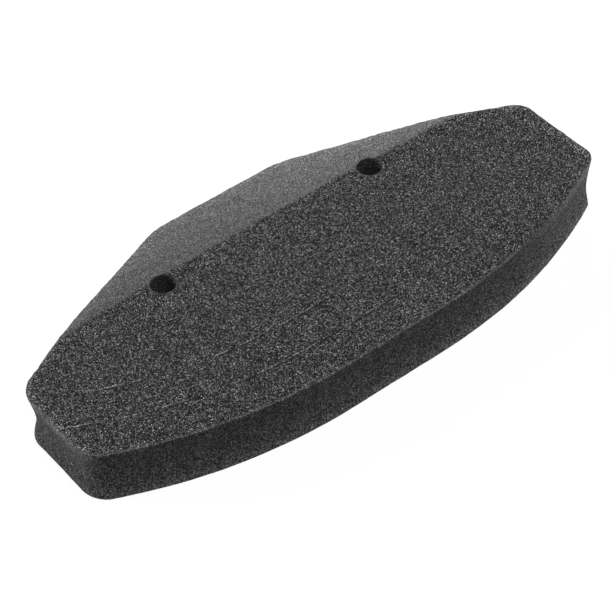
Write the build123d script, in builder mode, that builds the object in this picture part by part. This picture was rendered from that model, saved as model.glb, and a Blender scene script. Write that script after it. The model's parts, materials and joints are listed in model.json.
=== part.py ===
"""Foam impact block: one die-cut piece of closed-cell foam, held by two posts.

The block lies flat with its bottom face on z = 0. X runs along its length, and
-Y points at the bowed front edge that takes the knocks. The origin is midway
between the two post holes, on the bottom face.
"""

from build123d import *
import math
import os

# ---- Driving dimensions, millimetres ----

# Foam sheet
thickness = 15.0

# Plan outline at the rims, measured from the line of the post holes
length = 154.0  # between the two square ends
front_reach = 49.0  # to the crown of the front edge
front_flat = 28.0  # straight stretch in the middle of the front edge
front_radius = 134.5  # bow on each side of that straight stretch
end_rear_reach = -7.0  # where the square ends meet the rear slants
rear_reach = 22.6  # to the straight rear edge
rear_flat = 38.2  # length of the straight rear edge

# Corner rounding in plan, left and right, which the cutting has left a little unequal
front_corner_radii = (7.5, 4.5)
end_corner_radii = (7.5, 5.5)
rear_corner_radii = (13.0, 16.0)

# Die-cut wall: the foam is squeezed by the knife and springs back dished
wall_recess = 1.1  # deepest inset of the wall from its top and bottom rims
recess_share = 0.44  # how far up the wall it is deepest
wall_shares = (0.0, 0.2, recess_share, 0.72, 1.0)  # how far up the wall its sections are

# Rear bevel on the top face
bevel_start = 2.5  # from the hole line to the bevel's ridge
rear_height = 8.4  # height left at the straight rear edge

# Post holes
hole_diameter = 6.4
hole_spacing = 63.6

# ---- Derived places ----

half_length = length / 2
bow_centre_y = front_radius - front_reach
bow_end_x = half_length - front_flat / 2
front_corner_y = bow_centre_y - math.sqrt(front_radius**2 - bow_end_x**2)
bow_angle = math.degrees(math.asin(bow_end_x / front_radius))
bevel_slope = (thickness - rear_height) / (rear_reach - bevel_start)
column_height = 3 * thickness  # over the bevel's plane wherever it is above the outline
seam_tolerance = 0.005  # the two halves' walls meet within this


def plan_corner(sketch, x, y):
    """The sketch's vertex nearest to (x, y)."""
    return sketch.vertices().sort_by_distance(Vector(x, y, 0))[0]


def plan_outline():
    """The block's outline at its rims, as a sketch on the XY plane."""
    with BuildSketch() as outline:
        with BuildLine():
            Polyline(
                (0, rear_reach),
                (rear_flat / 2, rear_reach),
                (half_length, end_rear_reach),
                (half_length, front_corner_y),
            )
            bow = CenterArc(
                (front_flat / 2, bow_centre_y),
                front_radius,
                -90 + bow_angle,
                -bow_angle,
            )
            Line(bow @ 1, (0, -front_reach))
            mirror(about=Plane.YZ)
        make_face()
        corners = (
            (half_length, front_corner_y, front_corner_radii),
            (half_length, end_rear_reach, end_corner_radii),
            (rear_flat / 2, rear_reach, rear_corner_radii),
        )
        for x, y, radii in corners:
            for side, radius in zip((-1, 1), radii):
                fillet(plan_corner(outline, side * x, y), radius)
    return outline.sketch


def wall_inset(share):
    """How far the wall is in from its rims, at that share of its height."""
    if share < recess_share:
        return wall_recess * math.sin(math.pi / 2 * share / recess_share)
    return wall_recess * math.sin(math.pi / 2 * (1 - share) / (1 - recess_share))


def inset_outline(rim, share):
    """The outline drawn in to where the wall is at that share of its height."""
    with BuildSketch() as outline:
        add(rim)
        if 0 < share < 1:
            offset(amount=-wall_inset(share))
    return outline.sketch


def bevelled_section(outline, share):
    """The outline raised onto a slanted plane, at that share of the height left under the bevel."""
    ridge = (0, bevel_start, share * thickness)
    slant = Plane(origin=ridge, x_dir=(1, 0, 0), z_dir=(0, share * bevel_slope, 1))
    with BuildPart() as column:
        add(outline)
        extrude(amount=column_height)
        split(bisect_by=slant, keep=Keep.BOTTOM)
    return column.faces().sort_by(Axis.Z)[-1]


rim = plan_outline()
outlines = [inset_outline(rim, share) for share in wall_shares]
ridge_plane = Plane.XZ.offset(-bevel_start)  # upright, through the bevel's ridge

# ---- Front of the block, at full thickness, with its dished wall ----

with BuildPart() as front_half:
    for share, outline in zip(wall_shares, outlines):
        with BuildSketch(Plane.XY.offset(share * thickness)):
            add(outline)
    loft()
    split(bisect_by=ridge_plane, keep=Keep.TOP)

# ---- Rear of the block, where the wall's sections come down with the bevel ----

bottom = outlines[0].face()
slanted = [bevelled_section(outline, share) for share, outline in zip(wall_shares[1:], outlines[1:])]
with BuildPart() as rear_half:
    loft(sections=[bottom, *slanted])
    split(bisect_by=ridge_plane, keep=Keep.BOTTOM)

# ---- Foam block: both halves as one solid, with the post holes straight through ----

with BuildPart() as foam_block:
    add(front_half.solid().fuse(rear_half.solid(), tol=seam_tolerance))
    with BuildSketch(Plane.XY):
        with GridLocations(hole_spacing, 0, 2, 1):
            Circle(hole_diameter / 2)
    extrude(amount=thickness, mode=Mode.SUBTRACT)

foam_block.part.label = "foam_block"

# ---- Export ----

os.makedirs("parts", exist_ok=True)
export_step(foam_block.part, "parts/foam_block.step")

box = foam_block.part.bounding_box()
print(f"foam_block: {foam_block.part.volume / 1000:.1f} cm3, valid {foam_block.part.is_valid}")
print(f"box {box.min} to {box.max}, {len(foam_block.faces())} faces")
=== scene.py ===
"""Looks of the foam impact block: a finer mesh with soft rims and dished walls, and its foam materials.

Lengths below are in millimetres in the part's own frame: X runs along the block, -Y points at the
bowed front edge and Z is up from the bottom face. They turn into metres when the mesh is made.
"""

import json
import math

import bpy
import numpy as np
from mathutils import Matrix, Vector, kdtree, noise
from mathutils.geometry import delaunay_2d_cdt


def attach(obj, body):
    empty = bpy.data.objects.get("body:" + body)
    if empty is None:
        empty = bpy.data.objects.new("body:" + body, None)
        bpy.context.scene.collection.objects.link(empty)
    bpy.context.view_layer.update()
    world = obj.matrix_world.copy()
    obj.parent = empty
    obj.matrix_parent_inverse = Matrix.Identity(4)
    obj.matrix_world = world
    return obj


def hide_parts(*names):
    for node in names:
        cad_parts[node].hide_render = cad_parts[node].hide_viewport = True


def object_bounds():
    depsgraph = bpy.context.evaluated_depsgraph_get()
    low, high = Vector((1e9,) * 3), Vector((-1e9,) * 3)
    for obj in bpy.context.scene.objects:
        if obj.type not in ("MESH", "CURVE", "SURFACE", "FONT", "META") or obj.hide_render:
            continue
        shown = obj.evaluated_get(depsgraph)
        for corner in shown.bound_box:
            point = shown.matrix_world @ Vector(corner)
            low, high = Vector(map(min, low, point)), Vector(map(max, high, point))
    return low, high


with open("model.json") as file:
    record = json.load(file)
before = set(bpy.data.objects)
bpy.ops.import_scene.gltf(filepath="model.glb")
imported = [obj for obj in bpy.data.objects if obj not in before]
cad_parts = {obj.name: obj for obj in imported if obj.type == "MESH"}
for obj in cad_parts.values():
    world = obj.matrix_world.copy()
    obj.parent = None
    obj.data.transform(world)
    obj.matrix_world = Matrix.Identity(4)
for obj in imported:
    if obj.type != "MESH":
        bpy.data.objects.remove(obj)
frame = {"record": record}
cad_low, cad_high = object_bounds()

MM = 0.001

# ---- The block's sizes, from the frame ----

HALF_LENGTH = cad_high.x / MM
FRONT_REACH = -cad_low.y / MM
REAR_REACH = cad_high.y / MM
THICKNESS = cad_high.z / MM

# ---- The rest of the block's shape, as in the CAD source ----

FRONT_FLAT = 28.0  # straight stretch in the middle of the front edge
FRONT_RADIUS = 134.5  # bow on each side of it
END_REAR_REACH = -7.0  # where the square ends meet the rear slants
REAR_FLAT = 38.2  # length of the straight rear edge
LEFT_FRONT_RADIUS = 7.5
RIGHT_FRONT_RADIUS = 4.5
LEFT_END_RADIUS = 7.5
RIGHT_END_RADIUS = 5.5
LEFT_REAR_RADIUS = 13.0
RIGHT_REAR_RADIUS = 16.0
BEVEL_START = 2.5  # from the hole line to the bevel's ridge
REAR_HEIGHT = 8.4  # height left at the straight rear edge
BEVEL_SLOPE = (THICKNESS - REAR_HEIGHT) / (REAR_REACH - BEVEL_START)

# ---- What the mesh adds to it ----

LEFT_RECESS = 1.2  # the dish of the die-cut wall at full thickness, at the left end
RIGHT_RECESS = 0.8  # and at the right end
RECESS_HEIGHT = 0.42  # where it is deepest, as a share of the local height
FRONT_FLARE = 0.3  # how far the front wall's foot stands out past its top rim
LEFT_TUCK = 0.2  # how far the left end wall's foot stands in from its top rim
RIGHT_TUCK = 0.75  # and the right end wall's
DISH_BELOW = 1.25  # power of the sine that shapes the dish, below its deepest line
DISH_ABOVE = 1.1  # and above it
DISH_FADE = 1.5  # how fast the dish shallows as the wall gets lower, as a power
TOP_RIM_RADIUS = 0.32  # soft edge between the top face and the wall
BOTTOM_RIM_RADIUS = 0.15
RIDGE_SOFTNESS = 0.9  # half width of the rounding along the bevel's ridge
RIM_BAND = 1.2  # how far the wall's mesh runs onto the top and bottom faces
RIM_BAND_ROW = 0.8  # and where the one row of points within that band is

OUTLINE_STEP = 0.5
ARC_STEP = 0.02  # of the dense arcs that the outline is drawn from
WALL_ROWS = 27
RIM_STEPS = 4
TOP_STEP = 0.48
BOTTOM_STEP = 1.0
HOLE_SIDES = 72
HOLE_ROWS = 30
HOLE_RIM_RADIUS = 0.3
FACE_MARGIN = 0.6  # how clear a face's inner points stay of its loops, in steps
MERGE_GAP = 1e-7  # points nearer than this are one point in a face's triangles

# Relief: how far each kind of unevenness stands out, and how far across its lumps are
SAG, SAG_SIZE = 0.09, 17.0
LUMPS, LUMP_SIZE = 0.05, 3.2
RIBS, RIB_SIZE = 0.10, 6.0
CELLS, CELL_SIZE = 0.035, 1.1
RIM_CELLS = 0.13  # the cells along the top rim, which the cutting left ragged
FACE_LUMPS = 0.6  # the lumps' share on the faces, beside the walls
WALL_SLOPE = 0.7  # a vertex is on a wall where its normal's Z is under this
RIM_REACH = 1.2  # how far the rim's rough cells run down the wall, in rim radii
END_SHARPNESS = 4  # power of the normal's X that picks out the end walls


# ---- Plan outline ----

def arc_points(centre, radius, start, end):
    """Points along an arc, from one angle to the other, in radians."""
    count = max(2, int(abs(end - start) * radius / ARC_STEP))
    turn = np.linspace(start, end, count)
    return np.column_stack((centre[0] + radius * np.cos(turn), centre[1] + radius * np.sin(turn)))


def rounded_corner(before, corner, after, radius):
    """The fillet arc that replaces a corner between two straight runs turning left."""
    before, corner, after = (np.array(p, float) for p in (before, corner, after))
    into = (corner - before) / np.linalg.norm(corner - before)
    away = (after - corner) / np.linalg.norm(after - corner)
    turn = math.acos(float(into @ away))
    first = corner - into * radius * math.tan(turn / 2)
    centre = first + radius * np.array((-into[1], into[0]))
    start = math.atan2(first[1] - centre[1], first[0] - centre[0])
    return arc_points(centre, radius, start, start + turn)


def right_half(front_radius, end_radius, rear_radius):
    """The outline from the middle of the front edge, round the right end, to the middle of the rear."""
    bow_centre = (FRONT_FLAT / 2, FRONT_RADIUS - FRONT_REACH)
    corner_x = HALF_LENGTH - front_radius
    reach = FRONT_RADIUS - front_radius
    corner_y = bow_centre[1] - math.sqrt(reach**2 - (corner_x - bow_centre[0]) ** 2)
    corner_turn = math.atan2(corner_y - bow_centre[1], corner_x - bow_centre[0])
    end_front = (HALF_LENGTH, corner_y)
    end_rear = (HALF_LENGTH, END_REAR_REACH)
    slant_rear = (REAR_FLAT / 2, REAR_REACH)
    rear_middle = (0.0, REAR_REACH)
    return np.vstack((
        [(0.0, -FRONT_REACH)],
        arc_points(bow_centre, FRONT_RADIUS, -math.pi / 2, corner_turn),
        arc_points((corner_x, corner_y), front_radius, corner_turn, 0.0),
        rounded_corner(end_front, end_rear, slant_rear, end_radius),
        rounded_corner(end_rear, slant_rear, rear_middle, rear_radius),
        [rear_middle],
    ))


def outline():
    """Evenly spaced points round the whole outline, anticlockwise, and their outward normals."""
    right = right_half(RIGHT_FRONT_RADIUS, RIGHT_END_RADIUS, RIGHT_REAR_RADIUS)
    left = right_half(LEFT_FRONT_RADIUS, LEFT_END_RADIUS, LEFT_REAR_RADIUS)[::-1] * (-1, 1)
    dense = np.vstack((right, left[1:]))
    along = np.concatenate(([0.0], np.cumsum(np.linalg.norm(np.diff(dense, axis=0), axis=1))))
    count = int(round(along[-1] / OUTLINE_STEP))
    places = np.arange(count) * along[-1] / count
    points = np.column_stack([np.interp(places, along, dense[:, k]) for k in (0, 1)])
    tangent = np.roll(points, -1, axis=0) - np.roll(points, 1, axis=0)
    tangent /= np.linalg.norm(tangent, axis=1)[:, None]
    return points, np.column_stack((tangent[:, 1], -tangent[:, 0]))


def top_height(plan):
    """Height of the top face over plan points: flat, then the bevel, with a soft ridge between."""
    past = plan[:, 1] - BEVEL_START
    soft = np.logaddexp(0.0, past / RIDGE_SOFTNESS * 2) * RIDGE_SOFTNESS / 2
    return THICKNESS - BEVEL_SLOPE * soft


# ---- Mesh pieces, each adding to one shared list of vertices and faces ----

class MeshParts:
    """Vertices and faces collected from the block's surfaces, each face with its material's index."""

    def __init__(self):
        self.points = []
        self.faces = []
        self.materials = []

    def add_points(self, points):
        """Adds an array of points and returns their indices."""
        first = len(self.points)
        self.points.extend(map(tuple, points))
        return np.arange(first, first + len(points))

    def add_faces(self, faces, material):
        self.faces.extend(faces)
        self.materials.extend([material] * len(faces))

    def add_strip(self, lower, upper, material):
        """Quads between two closed rings of the same length."""
        after_lower = np.roll(lower, -1)
        after_upper = np.roll(upper, -1)
        quads = np.column_stack((lower, after_lower, after_upper, upper))
        self.add_faces([tuple(int(i) for i in quad) for quad in quads], material)


def wall_profile():
    """The wall's section from the bottom face, up, to the top face.

    Each row is (inset from the outline, share of the wall's height, height above the bottom face,
    depth below the top face): the share is None on the rows that belong to a rim or a face.
    """
    rows = [(inset, None, 0.0, None) for inset in (RIM_BAND, RIM_BAND_ROW)]
    for step in range(RIM_STEPS):
        turn = math.pi / 2 * step / RIM_STEPS
        radius = BOTTOM_RIM_RADIUS
        rows.append((radius * (1 - math.sin(turn)), None, radius * (1 - math.cos(turn)), None))
    for row in range(WALL_ROWS + 1):
        rows.append((0.0, row / WALL_ROWS, None, None))
    for step in range(1, RIM_STEPS + 1):
        turn = math.pi / 2 * step / RIM_STEPS
        radius = TOP_RIM_RADIUS
        rows.append((radius * (1 - math.cos(turn)), None, None, radius * (1 - math.sin(turn))))
    rows.extend((inset, None, None, 0.0) for inset in (RIM_BAND_ROW, RIM_BAND))
    return rows


def wall_dish(share):
    """How far in the wall is at that share of its height, from 0 at the rims to 1 at the deepest."""
    if share < RECESS_HEIGHT:
        return math.sin(math.pi / 2 * share / RECESS_HEIGHT) ** DISH_BELOW
    return math.sin(math.pi / 2 * (1 - share) / (1 - RECESS_HEIGHT)) ** DISH_ABOVE


def build_wall(parts, points, normals):
    """The wall all the way round, and the rings where the bottom and top faces meet it."""
    local_height = top_height(points)
    rightness = (points[:, 0] + HALF_LENGTH) / (2 * HALF_LENGTH)
    recess = LEFT_RECESS + (RIGHT_RECESS - LEFT_RECESS) * rightness
    recess *= (local_height / THICKNESS) ** DISH_FADE
    tuck = np.where(normals[:, 0] < 0, LEFT_TUCK, RIGHT_TUCK) * normals[:, 0] ** 2
    foot = FRONT_FLARE * np.maximum(-normals[:, 1], 0) - tuck
    rings = []
    for inset, share, above, below in wall_profile():
        depth = np.full(len(points), inset) if share is None else recess * wall_dish(share)
        if share is not None:
            depth = depth - foot * (1 - share)
        elif above is not None:
            depth = depth - foot
        plan = points - normals * depth[:, None]
        if above is not None:
            height = np.full(len(plan), above)
        elif below is not None:
            height = top_height(plan) - below
        else:
            low = BOTTOM_RIM_RADIUS
            height = low + share * (top_height(plan) - TOP_RIM_RADIUS - low)
        rings.append(parts.add_points(np.column_stack((plan, height))))
    face_rows = 2  # at each end of the section, the last rows lie on the bottom and top faces
    for row in range(len(rings) - 1):
        on_wall = face_rows <= row < len(rings) - 1 - face_rows
        material = WALL if on_wall else FACE
        parts.add_strip(rings[row], rings[row + 1], material)
    return rings[0], rings[-1]


def hole_circle(centre, radius):
    turn = np.arange(HOLE_SIDES) * 2 * math.pi / HOLE_SIDES
    return np.column_stack((centre[0] + radius * np.cos(turn), centre[1] + radius * np.sin(turn)))


def build_hole(parts, centre, radius):
    """One post hole's wall, and the rings where the bottom and top faces meet it."""
    rings = []
    edge = HOLE_RIM_RADIUS
    for step in range(RIM_STEPS):
        turn = math.pi / 2 * step / RIM_STEPS
        plan = hole_circle(centre, radius + edge * (1 - math.sin(turn)))
        height = np.full(len(plan), edge * (1 - math.cos(turn)))
        rings.append(parts.add_points(np.column_stack((plan, height))))
    for row in range(HOLE_ROWS + 1):
        plan = hole_circle(centre, radius)
        height = edge + row / HOLE_ROWS * (top_height(plan) - 2 * edge)
        rings.append(parts.add_points(np.column_stack((plan, height))))
    for step in range(1, RIM_STEPS + 1):
        turn = math.pi / 2 * step / RIM_STEPS
        plan = hole_circle(centre, radius + edge * (1 - math.cos(turn)))
        height = top_height(plan) - edge * (1 - math.sin(turn))
        rings.append(parts.add_points(np.column_stack((plan, height))))
    for lower, upper in zip(rings, rings[1:]):
        parts.add_strip(upper, lower, BORE)
    return rings[0], rings[-1]


def grid_inside(step, ring, ring_normals, holes, clear):
    """A triangular grid of plan points that lie inside the ring and outside the holes."""
    low = ring.min(axis=0)
    high = ring.max(axis=0)
    row_gap = step * math.sqrt(3) / 2
    rows = []
    for k, y in enumerate(np.arange(low[1], high[1], row_gap)):
        x = np.arange(low[0] + (k % 2) * step / 2, high[0], step)
        rows.append(np.column_stack((x, np.full(len(x), y))))
    grid = np.vstack(rows)
    keep = depth_inside(grid, ring, ring_normals) > clear
    for centre, radius in holes:
        keep &= np.linalg.norm(grid - centre, axis=1) > radius + clear
    return grid[keep]


def depth_inside(plan, ring, ring_normals):
    """How far plan points are inside the ring, negative outside it."""
    tree = kdtree.KDTree(len(ring))
    for k, point in enumerate(ring):
        tree.insert((point[0], point[1], 0.0), k)
    tree.balance()
    nearest = np.array([tree.find((x, y, 0.0))[1] for x, y in plan])
    away = plan - ring[nearest]
    return -np.einsum("ij,ij->i", away, ring_normals[nearest])


def build_face(parts, rim, rim_normals, hole_rings, holes, step, height_of, up):
    """A top or bottom face: triangles between the rim's ring and the holes' rings."""
    everything = np.array(parts.points)
    loops = [rim, *hole_rings]
    border = np.concatenate(loops)
    plan_rim = everything[rim][:, :2]
    inner = grid_inside(step, plan_rim, rim_normals, holes, step * FACE_MARGIN)
    inner_ids = parts.add_points(np.column_stack((inner, height_of(inner))))
    ids = np.concatenate((border, inner_ids))
    plan = np.vstack((everything[border][:, :2], inner))
    edges = []
    first = 0
    for loop in loops:
        count = len(loop)
        edges.extend((first + k, first + (k + 1) % count) for k in range(count))
        first += count
    found = delaunay_2d_cdt([Vector(p) for p in plan], edges, [], 0, MERGE_GAP, True)
    original = [members[0] for members in found[3]]
    triangles = np.array([[original[i] for i in face] for face in found[2]])
    # Every loop is convex, so a triangle with all its corners on one is outside the rim or in a hole
    loop_ends = np.cumsum([len(loop) for loop in loops])
    loop_of = np.searchsorted(loop_ends, triangles, side="right")
    on_one_loop = (loop_of == loop_of[:, :1]).all(axis=1) & (loop_of[:, 0] < len(loops))
    triangles = triangles[~on_one_loop]
    corner = plan[triangles]
    first_side = corner[:, 1] - corner[:, 0]
    second_side = corner[:, 2] - corner[:, 0]
    faces_up = first_side[:, 0] * second_side[:, 1] > first_side[:, 1] * second_side[:, 0]
    turned = np.where((faces_up == up)[:, None], triangles, triangles[:, ::-1])
    parts.add_faces([tuple(int(i) for i in row) for row in ids[turned]], FACE)


# ---- Relief ----

def smooth_noise(point, size, stretch=(1.0, 1.0, 1.0), seed=0.0):
    """Smooth noise from -1 to 1 whose lumps are about that size across."""
    place = Vector(point[k] / size / stretch[k] + seed for k in range(3))
    return noise.noise(place)


def relief(point, on_wall, on_rim):
    """How far the surface stands out of its plain shape there."""
    sag = SAG * smooth_noise(point, SAG_SIZE, seed=3.1)
    lumps = LUMPS * smooth_noise(point, LUMP_SIZE, seed=7.7)
    cells = (RIM_CELLS if on_rim else CELLS) * smooth_noise(point, CELL_SIZE, seed=1.9)
    if not on_wall:
        return sag + FACE_LUMPS * lumps + cells
    ribs = RIBS * smooth_noise(point, RIB_SIZE, stretch=(1, 1, 3.5), seed=5.3)
    return sag + lumps + cells + ribs


def add_relief(mesh, on_rim):
    """Moves each vertex along its normal by the relief there, which is rougher along the rim."""
    count = len(mesh.vertices)
    places = np.empty(count * 3, np.float32)
    normals = np.empty(count * 3, np.float32)
    mesh.vertices.foreach_get("co", places)
    mesh.vertices.foreach_get("normal", normals)
    places = places.reshape(-1, 3).astype(float)
    normals = normals.reshape(-1, 3).astype(float)
    on_wall = np.abs(normals[:, 2]) < WALL_SLOPE
    lift = np.array([relief(*vertex) for vertex in zip(places / MM, on_wall, on_rim)])
    places += normals * (lift * MM)[:, None]
    places[:, 2] = np.maximum(places[:, 2], 0.0)
    mesh.vertices.foreach_set("co", places.astype(np.float32).ravel())
    mesh.update()


def add_attribute(mesh, name, values):
    """Stores one number for each vertex, which a material reads by name."""
    layer = mesh.attributes.new(name, "FLOAT", "POINT")
    layer.data.foreach_set("value", np.asarray(values, np.float32))


def front_inset(plan):
    """How far plan points are in from the bowed front edge."""
    sideways = np.maximum(np.abs(plan[:, 0]) - FRONT_FLAT / 2, 0.0)
    bow = FRONT_RADIUS - np.hypot(sideways, plan[:, 1] - (FRONT_RADIUS - FRONT_REACH))
    return np.where(sideways > 0, bow, plan[:, 1] + FRONT_REACH)


# ---- The block ----

FACE, WALL, BORE = range(3)


def post_holes():
    """Centre and radius of each post hole in plan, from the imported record's bore mounts."""
    bores = [m for m in frame["record"]["mounts"] if m["kind"] == "bore"]
    return [(np.array(m["pos_m"][:2]) / MM, m["dims"]["r_mm"]) for m in bores]


def build_block():
    parts = MeshParts()
    points, normals = outline()
    bottom_ring, top_ring = build_wall(parts, points, normals)
    holes = post_holes()
    hole_rings = [build_hole(parts, *hole) for hole in holes]
    open_holes = [(centre, radius + HOLE_RIM_RADIUS) for centre, radius in holes]
    build_face(parts, top_ring, normals, [top for _, top in hole_rings], open_holes,
               TOP_STEP, top_height, up=True)
    build_face(parts, bottom_ring, normals, [bottom for bottom, _ in hole_rings], open_holes,
               BOTTOM_STEP, lambda plan: np.zeros(len(plan)), up=False)
    mesh = bpy.data.meshes.new("foam_block_skin")
    mesh.from_pydata([Vector(p) * MM for p in parts.points], [], parts.faces)
    mesh.polygons.foreach_set("material_index", parts.materials)
    mesh.update()
    plan = np.array(parts.points)[:, :2]
    add_attribute(mesh, "front_inset", front_inset(plan))
    add_attribute(mesh, "bevel", plan[:, 1] - BEVEL_START)
    rim_depth = depth_inside(plan, points, normals)
    under_rim = top_height(plan) - np.array(parts.points)[:, 2]
    add_attribute(mesh, "rim_depth", rim_depth)
    add_attribute(mesh, "under_rim", under_rim)
    add_relief(mesh, (rim_depth < TOP_RIM_RADIUS) & (under_rim < TOP_RIM_RADIUS * RIM_REACH))
    # end_wall: how squarely each vertex faces along X, which picks out the end walls for the wall's painted
    # light
    facing = np.empty(len(plan) * 3, np.float32)
    mesh.vertices.foreach_get("normal", facing)
    add_attribute(mesh, "end_wall", facing.reshape(-1, 3)[:, 0] ** END_SHARPNESS)
    mesh.shade_smooth()
    block = bpy.data.objects.new("foam_block_skin", mesh)
    bpy.context.scene.collection.objects.link(block)
    return block


# ---- Materials ----

class Shader:
    """A material's node tree with short calls for the nodes used here."""

    def __init__(self, name):
        self.material = bpy.data.materials.new(name)
        self.material.use_nodes = True
        self.tree = self.material.node_tree
        self.tree.nodes.clear()
        coordinates = self.tree.nodes.new("ShaderNodeTexCoord")
        in_mm = self.tree.nodes.new("ShaderNodeMapping")
        in_mm.inputs["Scale"].default_value = (1 / MM, 1 / MM, 1 / MM)
        self.tree.links.new(coordinates.outputs["Object"], in_mm.inputs["Vector"])
        self.place = in_mm.outputs["Vector"]

    def node(self, kind, **inputs):
        """A node of that kind, with its inputs linked or set."""
        made = self.tree.nodes.new(kind)
        for name, value in inputs.items():
            self.set(made.inputs[name.replace("_", " ")], value)
        return made

    def set(self, socket, value):
        if isinstance(value, bpy.types.NodeSocket):
            self.tree.links.new(value, socket)
        else:
            socket.default_value = value

    def math(self, operation, first, second=0.0):
        made = self.tree.nodes.new("ShaderNodeMath")
        made.operation = operation
        for socket, value in zip(made.inputs, (first, second)):
            self.set(socket, value)
        return made.outputs[0]

    def spread(self, value, low, high, to_low=0.0, to_high=1.0):
        """Maps low..high to to_low..to_high smoothly, and holds the ends."""
        made = self.tree.nodes.new("ShaderNodeMapRange")
        made.interpolation_type = "SMOOTHSTEP"
        for name, number in (("Value", value), ("From Min", low), ("From Max", high),
                             ("To Min", to_low), ("To Max", to_high)):
            self.set(made.inputs[name], number)
        return made.outputs["Result"]

    def noise(self, frequency, detail=2.0, place=None):
        """Noise with about that many lumps to the millimetre."""
        made = self.node("ShaderNodeTexNoise", Vector=place or self.place, Scale=frequency,
                         Detail=detail, Roughness=NOISE_ROUGHNESS)
        return made.outputs["Fac"]

    def cell_texture(self, per_mm, place):
        """Random closed cells, about that many to the millimetre."""
        return self.node("ShaderNodeTexVoronoi", Vector=place or self.place, Scale=per_mm)

    def speckle(self, per_mm, contrast, place=None):
        """Each cell its own brightness, 1 on average: e**contrast between the darkest and the brightest."""
        random_colour = self.cell_texture(per_mm, place).outputs["Color"]
        random = self.node("ShaderNodeSeparateXYZ", Vector=random_colour).outputs["X"]
        average = (math.exp(contrast) - 1) / contrast
        return self.math("DIVIDE", self.math("POWER", math.exp(contrast), random), average)

    def grain(self, per_mm, contrasts, place=None):
        """Speckle at the size of the cells and finer speckle within them."""
        cells = self.speckle(per_mm, contrasts[0], place)
        crumbs = self.speckle(per_mm * CRUMBS_PER_CELL, contrasts[1], place)
        return self.times(cells, crumbs)

    def cups(self, per_mm, place=None):
        """Height of cut cells, from 0 in the bottom of a cup to 1 on the walls between them."""
        distance = self.cell_texture(per_mm, place).outputs["Distance"]
        return self.spread(distance, 0.1, 0.75)

    def stretched(self, scale):
        """The place in millimetres, scaled along each axis, so that patterns grow where it is under 1."""
        return self.node("ShaderNodeMapping", Vector=self.place, Scale=scale).outputs["Vector"]

    def times(self, first, *others):
        """The product of all of them."""
        product = first
        for other in others:
            product = self.math("MULTIPLY", product, other)
        return product

    def axis(self, letter):
        """The place along one axis of the part, in millimetres."""
        return self.node("ShaderNodeSeparateXYZ", Vector=self.place).outputs[letter]

    def along(self, letter, low, high, to_low, to_high):
        """A value that changes smoothly along one axis of the part, between two places on it."""
        return self.spread(self.axis(letter), low, high, to_low, to_high)

    def waver(self, frequency, amount, detail, place=None, half_range=0.2):
        """1, give or take an amount, in soft lumps. A smaller half range makes them plainer."""
        lumps = self.noise(frequency, detail=detail, place=place)
        return self.spread(lumps, 0.5 - half_range, 0.5 + half_range, 1 - amount, 1 + amount)

    def attribute(self, name):
        made = self.tree.nodes.new("ShaderNodeAttribute")
        made.attribute_name = name
        return made.outputs["Fac"]

    def mix(self, share, first, second):
        made = self.tree.nodes.new("ShaderNodeMix")
        self.set(made.inputs["Factor"], share)
        self.set(made.inputs["A"], first)
        self.set(made.inputs["B"], second)
        return made.outputs["Result"]

    def grey(self, value, tint):
        """A colour from a brightness and a tint."""
        made = self.tree.nodes.new("ShaderNodeVectorMath")
        made.operation = "SCALE"
        made.inputs[0].default_value = tint
        self.set(made.inputs["Scale"], value)
        return made.outputs[0]

    def bump(self, height, depth):
        """A bump of that depth in millimetres where height runs from 0 to 1."""
        made = self.node("ShaderNodeBump", Height=height, Distance=depth * MM, Strength=1.0)
        return made.outputs["Normal"]

    def finish(self, colour, roughness, normal, specular, sheen, sheen_roughness):
        surface = self.node("ShaderNodeBsdfPrincipled", Base_Color=colour, Roughness=roughness,
                            Normal=normal, Specular_IOR_Level=specular, Sheen_Weight=sheen,
                            Sheen_Roughness=sheen_roughness)
        output = self.tree.nodes.new("ShaderNodeOutputMaterial")
        self.tree.links.new(surface.outputs[0], output.inputs["Surface"])
        return self.material


FOAM_TINT = (1.0, 1.0, 1.015)

# Brightness of each kind of foam surface
SPLIT_BLACK = 0.082
BUFFED_GREY = 0.14
CUT_BLACK = 0.127
BORE_BLACK = 0.095
FRONT_HIGHLIGHT_LINE_GREY = 0.074  # painted highlight along the rim of the top face, at the front
REAR_HIGHLIGHT_LINE_GREY = 0.11  # and along its ends and rear

NOISE_ROUGHNESS = 0.6

# Cells and their speckle
CELLS_PER_MM = 6.2
CRUMBS_PER_CELL = 1.6  # the finer speckle's frequency beside the cells'
BUFFED_FINENESS = 1.1  # the buffed cells' frequency beside the split ones'
SPLIT_CONTRAST = (8.4, 3.4)  # of the cells and of the finer speckle, as powers of e
BUFFED_CONTRAST = (2.9, 1.7)
CUT_CONTRAST = (3.1, 1.7)
LIP_CONTRAST = 2.4
DRAWN_CELLS = (1.0, 1.0, 0.7)  # the knife draws the wall's cells out along Z
CUP_DEPTH = 0.06  # of the open cells, in the split faces
CUT_CUP_DEPTH = CUP_DEPTH * 0.7
BUFFED_CUPS = 0.55  # the cups' depth on the bevel, beside the split faces'

# Painted highlights along the rims of the top face: from where to where, in from the outline, each fades
# out
HIGHLIGHT_LINE_SPAN = (0.1, 0.9)
HIGHLIGHT_LINE_SHARE = 0.65  # how much of the split cells it hides
HIGHLIGHT_BAND_SPAN = (0.6, 3.6)  # along the ends and the rear
SPLIT_HIGHLIGHT_BAND = 1.4  # how much paler the painted highlight makes the split face
BUFFED_HIGHLIGHT_BAND = 1.2  # and the bevel

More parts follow.
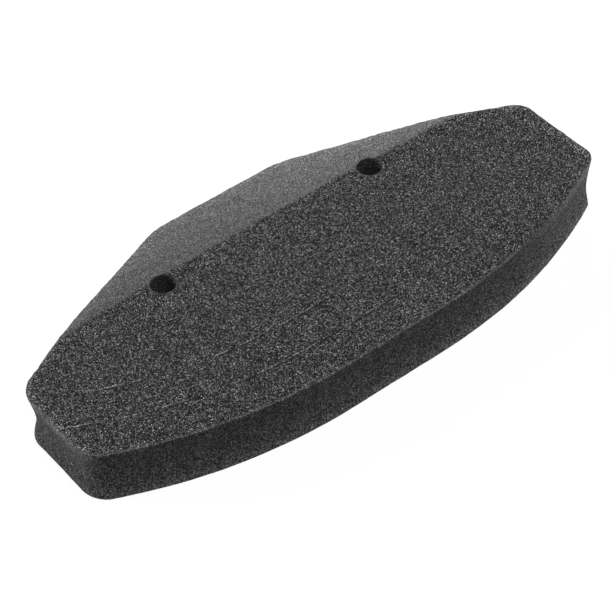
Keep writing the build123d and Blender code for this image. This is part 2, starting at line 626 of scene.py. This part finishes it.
# The two knife scores on the top face
SCORE_INSETS = (9.8, 19.7)  # how far in they are from the front edge
SCORE_CUT_SHADE = 0.9  # how much of the foam's brightness the painted shade in their cuts takes
LIP_HIGHLIGHT = (0.34, 0.08)  # what the painted highlight on their lips adds to it, at the left and at the right
LIP_SHARES = (0.7, 1.0)  # how much of that the front and the rear score's lips have
LIP_OFFSET = 0.2  # the lip is this far behind the score's line, and the cut this far in front
CUT_EDGE = (0.13, 0.34)  # from where to where, out from its own line, the cut fades out
LIP_EDGE = (0.06, 0.25)

FOAM_GLOSS = (0.12, 0.0, 0.6)  # specular level, sheen and its roughness
SPLIT_ROUGHNESS = 0.74
BUFFED_ROUGHNESS = 0.9
CUT_ROUGHNESS = 0.82
BORE_ROUGHNESS = 0.85


def split_foam(s):
    """Tone of the split faces: each cell catches the light its own way, over softer clumps of them."""
    grain = s.grain(CELLS_PER_MM, SPLIT_CONTRAST)
    clumps = s.waver(1.3, 0.07, detail=2.0)
    patches = s.waver(0.12, 0.05, detail=3.0)
    return s.times(grain, clumps, patches, SPLIT_BLACK)


def buffed_foam(s, fuzz):
    """Tone of the bevel: its cells ground open, with painted light that makes it paler towards the rear and
    the right.
    """
    strokes = s.waver(0.5, 0.08, detail=3.0, place=s.stretched((0.25, 1.0, 1.0)), half_range=0.25)
    # painted light: the bevel paler towards the rear and towards the right
    painted_light_rearward = s.spread(s.attribute("bevel"), 0.0, REAR_REACH - BEVEL_START, 0.9, 1.17)
    painted_light_rightward = s.along("X", -20.0, 70.0, 0.94, 1.5)
    return s.times(fuzz, strokes, painted_light_rearward, painted_light_rightward, BUFFED_GREY)


def bevel_share(s):
    """0 on the split face and 1 on the bevel. The ridge wanders, and is overrun at the ends."""
    overrun = s.math("ADD", s.along("X", 5.0, 58.0, 0.0, 1.6), s.along("X", -60.0, -25.0, 1.5, 0.0))
    wander = s.spread(s.noise(2.4, detail=3.0), 0.25, 0.75, -0.55, 0.55)
    past_ridge = s.math("ADD", s.math("ADD", s.attribute("bevel"), overrun), wander)
    return s.spread(past_ridge, -0.45, 0.45)


def rim_highlight_line(s, fuzz, off_front):
    """Tone of the painted highlight line along the rim, with finer grain: duller towards the right of the
    front edge.
    """
    front = s.along("X", 0.0, 55.0, FRONT_HIGHLIGHT_LINE_GREY, FRONT_HIGHLIGHT_LINE_GREY * 0.6)
    return s.times(fuzz, s.mix(off_front, front, REAR_HIGHLIGHT_LINE_GREY))


def rim_highlight_band(s, rim_depth, off_front, on_bevel):
    """How much paler the top face is near its rim: a painted highlight, strongest along the ends and the
    rear.
    """
    strongest = s.mix(on_bevel, SPLIT_HIGHLIGHT_BAND, BUFFED_HIGHLIGHT_BAND)
    along_front = s.spread(rim_depth, 0.0, 1.8, 1.12, 1.0)
    return s.mix(off_front, along_front, s.spread(rim_depth, *HIGHLIGHT_BAND_SPAN, strongest, 1.0))


def face_material():
    """The split top and bottom faces, coarse and speckled, and the buffed bevel, finer and greyer."""
    s = Shader("foam_face")
    fuzz = s.grain(CELLS_PER_MM * BUFFED_FINENESS, BUFFED_CONTRAST)
    on_bevel = bevel_share(s)
    rim_depth = s.attribute("rim_depth")
    off_front = s.spread(s.math("SUBTRACT", s.attribute("front_inset"), rim_depth), 0.0, 3.0)
    cuts, lip_highlights = knife_scores(s)
    # a painted highlight line along the rim, laid over the split cells
    on_rim = s.spread(rim_depth, *HIGHLIGHT_LINE_SPAN, HIGHLIGHT_LINE_SHARE, 0.0)
    split = s.mix(on_rim, split_foam(s), rim_highlight_line(s, fuzz, off_front))
    face = s.mix(on_bevel, split, buffed_foam(s, fuzz))
    # painted shade in the scores' cuts, and painted highlights on their lips
    outside_cut_shade = s.math("SUBTRACT", 1.0, s.times(cuts, SCORE_CUT_SHADE))
    scored = s.math("ADD", s.times(face, outside_cut_shade), lip_highlights)
    # painted highlight in a band near the rim
    tone = s.times(scored, rim_highlight_band(s, rim_depth, off_front, on_bevel))
    cups = s.math("MULTIPLY", s.cups(CELLS_PER_MM), s.mix(on_bevel, 1.0, BUFFED_CUPS))
    normal = s.bump(s.math("SUBTRACT", cups, cuts), CUP_DEPTH)
    roughness = s.mix(on_bevel, SPLIT_ROUGHNESS, BUFFED_ROUGHNESS)
    return s.finish(s.grey(tone, FOAM_TINT), roughness, normal, *FOAM_GLOSS)


def knife_scores(s):
    """Two broken scores that follow the front edge: their cuts, and the lips beside them.

    Each one is a cut with painted shade in it, and a lip on its rear side with a painted highlight. The
    highlights are plainest at the left, and the painted shade in the cuts in the middle.
    """
    inset = s.attribute("front_inset")
    shake = s.spread(s.noise(0.25, detail=2.0), 0.3, 0.7, -0.12, 0.12)
    lengthwise = s.stretched((1.0, 0.15, 1.0))
    cuts = 0.0
    lip_highlights = 0.0
    for k, (distance, lip_share) in enumerate(zip(SCORE_INSETS, LIP_SHARES)):
        across = s.math("SUBTRACT", s.math("ADD", inset, shake), distance)
        from_cut = s.math("ABSOLUTE", s.math("ADD", across, LIP_OFFSET))
        from_lip = s.math("ABSOLUTE", s.math("SUBTRACT", across, LIP_OFFSET))
        cut_dashes = s.noise(0.15 + 0.03 * k, detail=3.0, place=lengthwise)
        lip_dashes = s.noise(0.24 + 0.05 * k, detail=3.0, place=lengthwise)
        cut = s.times(s.spread(from_cut, *CUT_EDGE, 1.0, 0.0), s.spread(cut_dashes, 0.42, 0.55))
        lip = s.times(s.spread(from_lip, *LIP_EDGE, 1.0, 0.0), s.spread(lip_dashes, 0.46, 0.62), lip_share)
        cuts = s.math("ADD", cut, cuts)
        lip_highlights = s.math("ADD", lip, lip_highlights)
    cuts = s.times(cuts, s.along("X", -60.0, -25.0, 0.5, 1.0), s.along("X", 5.0, 50.0, 1.0, 0.3))
    lip_highlight = s.along("X", -65.0, 40.0, *LIP_HIGHLIGHT)
    return cuts, s.times(lip_highlights, lip_highlight, s.speckle(CELLS_PER_MM, LIP_CONTRAST))


def wall_painted_light(s):
    """Painted light on the wall: paler at the ends towards the top, a painted highlight along the rim, and
    paler at the foot.

    The foot of the end walls isn't paler, and the rim's painted highlight is dimmer towards the right.
    """
    height = s.axis("Z")
    end_wall = s.attribute("end_wall")
    under_rim = s.attribute("under_rim")
    # painted light: the end walls and the right front corner paler towards the top
    painted_light_upward = s.times(s.spread(height, 0.0, 8.0, 0.9, 1.25), s.spread(height, 9.0, 14.5, 1.0, 2.0))
    at_end = s.math("MAXIMUM", end_wall, s.along("X", 38.0, 68.0, 0.0, 0.7))
    # painted highlight along the wall's top rim
    rim = s.spread(under_rim, 0.0, 0.8, 1.5, 1.0)
    # painted light: the wall paler at the foot, except on the end walls
    foot = s.mix(end_wall, s.spread(height, 0.0, 3.0, 1.6, 1.0), 1.0)
    # the rim's painted highlight dimmer towards the right
    on_rim = s.spread(under_rim, 0.0, 0.5, 1.0, 0.0)
    rim_highlight_fade = s.mix(on_rim, 1.0, s.along("X", 5.0, 55.0, 1.0, 0.65))
    return s.times(s.math("MAXIMUM", s.mix(at_end, 1.0, painted_light_upward), rim), foot, rim_highlight_fade)


def wall_material():
    """The die-cut wall: cells drawn fine and upright by the knife, with faint rib marks."""
    s = Shader("foam_wall")
    drawn = s.stretched(DRAWN_CELLS)
    grain = s.grain(CELLS_PER_MM, CUT_CONTRAST, drawn)
    clumps = s.waver(1.1, 0.14, detail=3.0, place=drawn)
    marks = s.waver(0.5, 0.07, detail=4.0, place=s.stretched((1.0, 1.0, 0.12)))
    combed = s.waver(2.2, 0.1, detail=2.0, place=s.stretched((1.0, 1.0, 0.1)))
    # the wall's tone carries painted light, and a painted highlight along its rim
    tone = s.times(grain, clumps, marks, combed, wall_painted_light(s), CUT_BLACK)
    normal = s.bump(s.cups(CELLS_PER_MM, drawn), CUT_CUP_DEPTH)
    return s.finish(s.grey(tone, FOAM_TINT), CUT_ROUGHNESS, normal, *FOAM_GLOSS)


def bore_material():
    """The wall of a post hole: the same cut foam, darker and finer."""
    s = Shader("foam_bore")
    tone = s.times(s.grain(CELLS_PER_MM, CUT_CONTRAST), BORE_BLACK)
    normal = s.bump(s.cups(CELLS_PER_MM), CUT_CUP_DEPTH)
    return s.finish(s.grey(tone, FOAM_TINT), BORE_ROUGHNESS, normal, *FOAM_GLOSS)


# ---- Stage ----

CAMERA_AZIMUTH = -36.23
CAMERA_ELEVATION = 45.33
CAMERA_ROLL = -3.13
CAMERA_AIM = (-10.61, -27.60, 15.0)
CAMERA_DISTANCE = 518.2
CAMERA_LENS = 130.52  # on the usual 36 mm wide sensor

# From here on, places and sizes are in metres
LIGHTS_AIM = (0.0, -0.01, 0.01)
WORLD_LIGHT = 0.02  # how strongly the surroundings light the block
WORLD_SHOWN = 1.0
FLOOR_LIGHT = 0.15  # how strongly the floor lights the block from below
FLOOR_SHOWN = 0.93
FLOOR_GREY = 0.16
FLOOR_REACH = 6.0
FLOOR_DROP = 0.0002  # below the block, so that their surfaces don't meet


def make_camera():
    """The camera at the photograph's angle, far off with a long lens."""
    turn = math.radians(CAMERA_AZIMUTH)
    rise = math.radians(CAMERA_ELEVATION)
    back = Vector((math.sin(turn) * math.cos(rise), -math.cos(turn) * math.cos(rise), math.sin(rise)))
    level = Matrix.Rotation(math.radians(CAMERA_ROLL), 3, back)
    right = level @ (-back).cross(Vector((0, 0, 1))).normalized()
    upward = back.cross(right)
    camera = bpy.data.objects.new("camera", bpy.data.cameras.new("camera"))
    bpy.context.scene.collection.objects.link(camera)
    camera.data.lens = CAMERA_LENS
    turned = Matrix((right, upward, back)).transposed()
    place = (Vector(CAMERA_AIM) + back * CAMERA_DISTANCE) * MM
    camera.matrix_world = Matrix.Translation(place) @ turned.to_4x4()
    bpy.context.scene.camera = camera


def area_light(name, place, size, power):
    """A soft panel, turned to the block."""
    data = bpy.data.lights.new(name, "AREA")
    data.shape = "RECTANGLE"
    data.size, data.size_y = size
    data.energy = power
    lamp = bpy.data.objects.new(name, data)
    lamp.location = place
    lamp.rotation_euler = (Vector(LIGHTS_AIM) - Vector(place)).to_track_quat("-Z", "Y").to_euler()
    bpy.context.scene.collection.objects.link(lamp)


def white_for_camera(material_or_world, lighting, shown):
    """Emission that lights the block with one strength and looks white to the camera."""
    tree = material_or_world.node_tree
    path = tree.nodes.new("ShaderNodeLightPath")
    strength = tree.nodes.new("ShaderNodeMix")
    strength.inputs["A"].default_value = lighting
    strength.inputs["B"].default_value = shown
    tree.links.new(path.outputs["Is Camera Ray"], strength.inputs["Factor"])
    return strength.outputs["Result"]


def make_lights():
    area_light("panel_top", (0.0, -0.4, 0.95), (0.7, 0.5), 3.8)
    area_light("panel_back", (0.4, 1.0, 0.3), (0.9, 0.4), 9.3)
    area_light("panel_back_left", (-0.8, 0.7, 0.4), (0.6, 0.4), 5.5)
    area_light("panel_right", (1.0, 0.0, 0.12), (0.6, 0.2), 5.7)
    world = bpy.data.worlds.new("studio")
    world.use_nodes = True
    background = world.node_tree.nodes["Background"]
    background.inputs["Color"].default_value = (1, 1, 1, 1)
    glow = white_for_camera(world, WORLD_LIGHT, WORLD_SHOWN)
    world.node_tree.links.new(glow, background.inputs["Strength"])
    bpy.context.scene.world = world
    bpy.context.scene.view_settings.view_transform = "Standard"


def make_floor():
    """A plain white floor, lit from within like a product table, that takes a faint shadow."""
    mesh = bpy.data.meshes.new("floor")
    sides = ((-1, -1), (1, -1), (1, 1), (-1, 1))
    corners = [(x * FLOOR_REACH, y * FLOOR_REACH, 0) for x, y in sides]
    mesh.from_pydata(corners, [], [(0, 1, 2, 3)])
    floor = bpy.data.objects.new("floor", mesh)
    floor.location.z = -FLOOR_DROP
    bpy.context.scene.collection.objects.link(floor)
    material = bpy.data.materials.new("floor_white")
    material.use_nodes = True
    surface = material.node_tree.nodes["Principled BSDF"]
    surface.inputs["Base Color"].default_value = (FLOOR_GREY, FLOOR_GREY, FLOOR_GREY, 1)
    surface.inputs["Roughness"].default_value = 1.0
    surface.inputs["Specular IOR Level"].default_value = 0.0
    surface.inputs["Emission Color"].default_value = (1, 1, 1, 1)
    glow = white_for_camera(material, FLOOR_LIGHT, FLOOR_SHOWN)
    material.node_tree.links.new(glow, surface.inputs["Emission Strength"])
    mesh.materials.append(material)


# ---- Putting it together ----

make_camera()
make_lights()
make_floor()

block = build_block()
for material in (face_material(), wall_material(), bore_material()):
    block.data.materials.append(material)
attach(block, "root")
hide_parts("foam_block")
